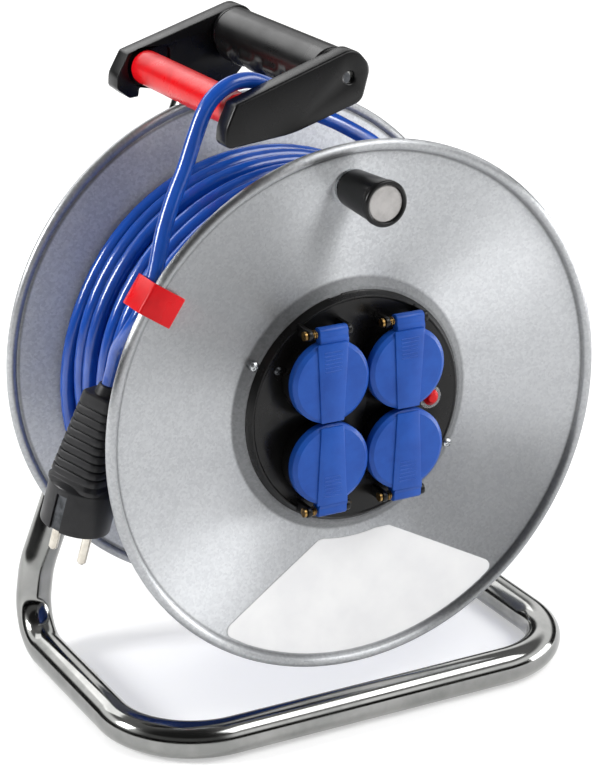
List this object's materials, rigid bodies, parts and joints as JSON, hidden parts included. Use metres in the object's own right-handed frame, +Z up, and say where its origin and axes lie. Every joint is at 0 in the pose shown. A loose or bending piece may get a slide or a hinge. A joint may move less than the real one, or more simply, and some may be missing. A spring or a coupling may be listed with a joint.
{
  "type": "extension cord reel",
  "caption": "Steel cord drum with covered sockets and a winding knob, turning on a bent-tube stand with a carrying handle, its cord led over a guide roller to a plug.",
  "frame": {"origin": "centre of the footprint at the ground, under the drum", "axes": "+X right, +Y to the rear along the drum's axle, +Z up"},
  "size_m": [0.3092, 0.198, 0.363],
  "materials": {
    "chrome_tube": "bright chrome plating",
    "zinc_hardware": "zinc plated",
    "galvanised_sheet": "satin galvanised sheet with fine spangle",
    "black_plastic": "satin moulded",
    "dark_plastic": "plain moulded",
    "socket_black": "semi-gloss moulded",
    "blue_lid": "semi-gloss moulded",
    "blue_cord": "smooth glossy sheath",
    "red_plastic": "gloss moulded",
    "black_rubber": "satin moulded rubber",
    "brass": "turned",
    "brass_nickel": "nickel plated, bright",
    "white_sticker": "smooth printed film, bare",
    "grey_cap": "satin",
    "ivory_plastic": "plain moulded",
    "clear_ring": "clear moulded collar"
  },
  "bodies": {
    "stand": {"frame_tube": "chrome_tube", "tube_end_cap": "black_plastic", "grip_insert": "zinc_hardware", "hub_bracket": "chrome_tube", "bracket_bolts": "zinc_hardware", "bracket_nuts": "zinc_hardware", "axle": "zinc_hardware", "axle_nut": "zinc_hardware", "axle_washer": "zinc_hardware", "axle_clip": "zinc_hardware", "handle_arm_front": "black_plastic", "handle_arm_back": "black_plastic", "grip_sleeve": "black_plastic", "handle_screw": "zinc_hardware", "roller_pin": "zinc_hardware", "cord_free": "blue_cord", "plug_body": "black_rubber", "plug_pins": "brass_nickel", "plug_earth_strips": "zinc_hardware"},
    "drum": {"drum_core": "galvanised_sheet", "front_flange": "galvanised_sheet", "back_flange": "galvanised_sheet", "hub_bush": "dark_plastic", "bush_screws": "zinc_hardware", "winding_core": "blue_cord", "winding_top": "blue_cord", "cord_grommet": "black_rubber", "inner_lead": "blue_cord", "terminal_block": "ivory_plastic", "socket_plate": "socket_black", "insert_cover": "dark_plastic", "socket_cup_top_left": "socket_black", "socket_cup_top_right": "socket_black", "socket_cup_bottom_left": "socket_black", "socket_cup_bottom_right": "socket_black", "contact_sleeves": "brass", "earth_clips": "zinc_hardware", "lid_pins": "brass", "lid_springs": "brass", "breaker_body": "black_plastic", "breaker_ring": "clear_ring", "plate_screws": "zinc_hardware", "flange_screws": "zinc_hardware", "flange_label": "white_sticker", "knob_pin": "zinc_hardware", "knob_washer": "zinc_hardware", "cord_clip": "red_plastic"},
    "roller": {"guide_roller": "red_plastic"},
    "knob": {"crank_knob": "black_plastic", "knob_cap": "grey_cap"},
    "button": {"reset_button": "red_plastic"},
    "lid_top_left_body": {"lid_top_left": "blue_lid"},
    "lid_top_right_body": {"lid_top_right": "blue_lid"},
    "lid_bottom_left_body": {"lid_bottom_left": "blue_lid"},
    "lid_bottom_right_body": {"lid_bottom_right": "blue_lid"}
  },
  "joints": [
    {"name": "drum_spin", "type": "hinge", "parent": "stand", "child": "drum", "pos_m": [0, 0.02, 0.173], "axis": [0, 1, 0], "continuous": true},
    {"name": "roller_spin", "type": "hinge", "parent": "stand", "child": "roller", "pos_m": [-0.06, 0.00996, 0.3353], "axis": [0, 1, 0], "continuous": true},
    {"name": "knob_spin", "type": "hinge", "parent": "drum", "child": "knob", "pos_m": [-0.00636, -0.08204, 0.29443], "axis": [0, 1, 0], "continuous": true},
    {"name": "lid_hinge_top_left", "type": "hinge", "parent": "drum", "child": "lid_top_left_body", "pos_m": [-0.0226, -0.07024, 0.2216], "axis": [-1, 0, 0], "range_deg": [0, 105], "stiffness_Nm_per_rad": 0.004, "springref_deg": -45.84},
    {"name": "lid_hinge_top_right", "type": "hinge", "parent": "drum", "child": "lid_top_right_body", "pos_m": [0.0226, -0.07024, 0.2216], "axis": [-1, 0, 0], "range_deg": [0, 105], "stiffness_Nm_per_rad": 0.004, "springref_deg": -45.84},
    {"name": "lid_hinge_bottom_left", "type": "hinge", "parent": "drum", "child": "lid_bottom_left_body", "pos_m": [-0.0226, -0.07024, 0.1244], "axis": [1, 0, 0], "range_deg": [0, 105], "stiffness_Nm_per_rad": 0.004, "springref_deg": -45.84},
    {"name": "lid_hinge_bottom_right", "type": "hinge", "parent": "drum", "child": "lid_bottom_right_body", "pos_m": [0.0226, -0.07024, 0.1244], "axis": [1, 0, 0], "range_deg": [0, 105], "stiffness_Nm_per_rad": 0.004, "springref_deg": -45.84},
    {"name": "reset_slide", "type": "slide", "parent": "drum", "child": "button", "axis": [0, 1, 0], "range_m": [0, 0.002], "stiffness_N_per_m": 300, "springref_m": -0.001}
  ]
}
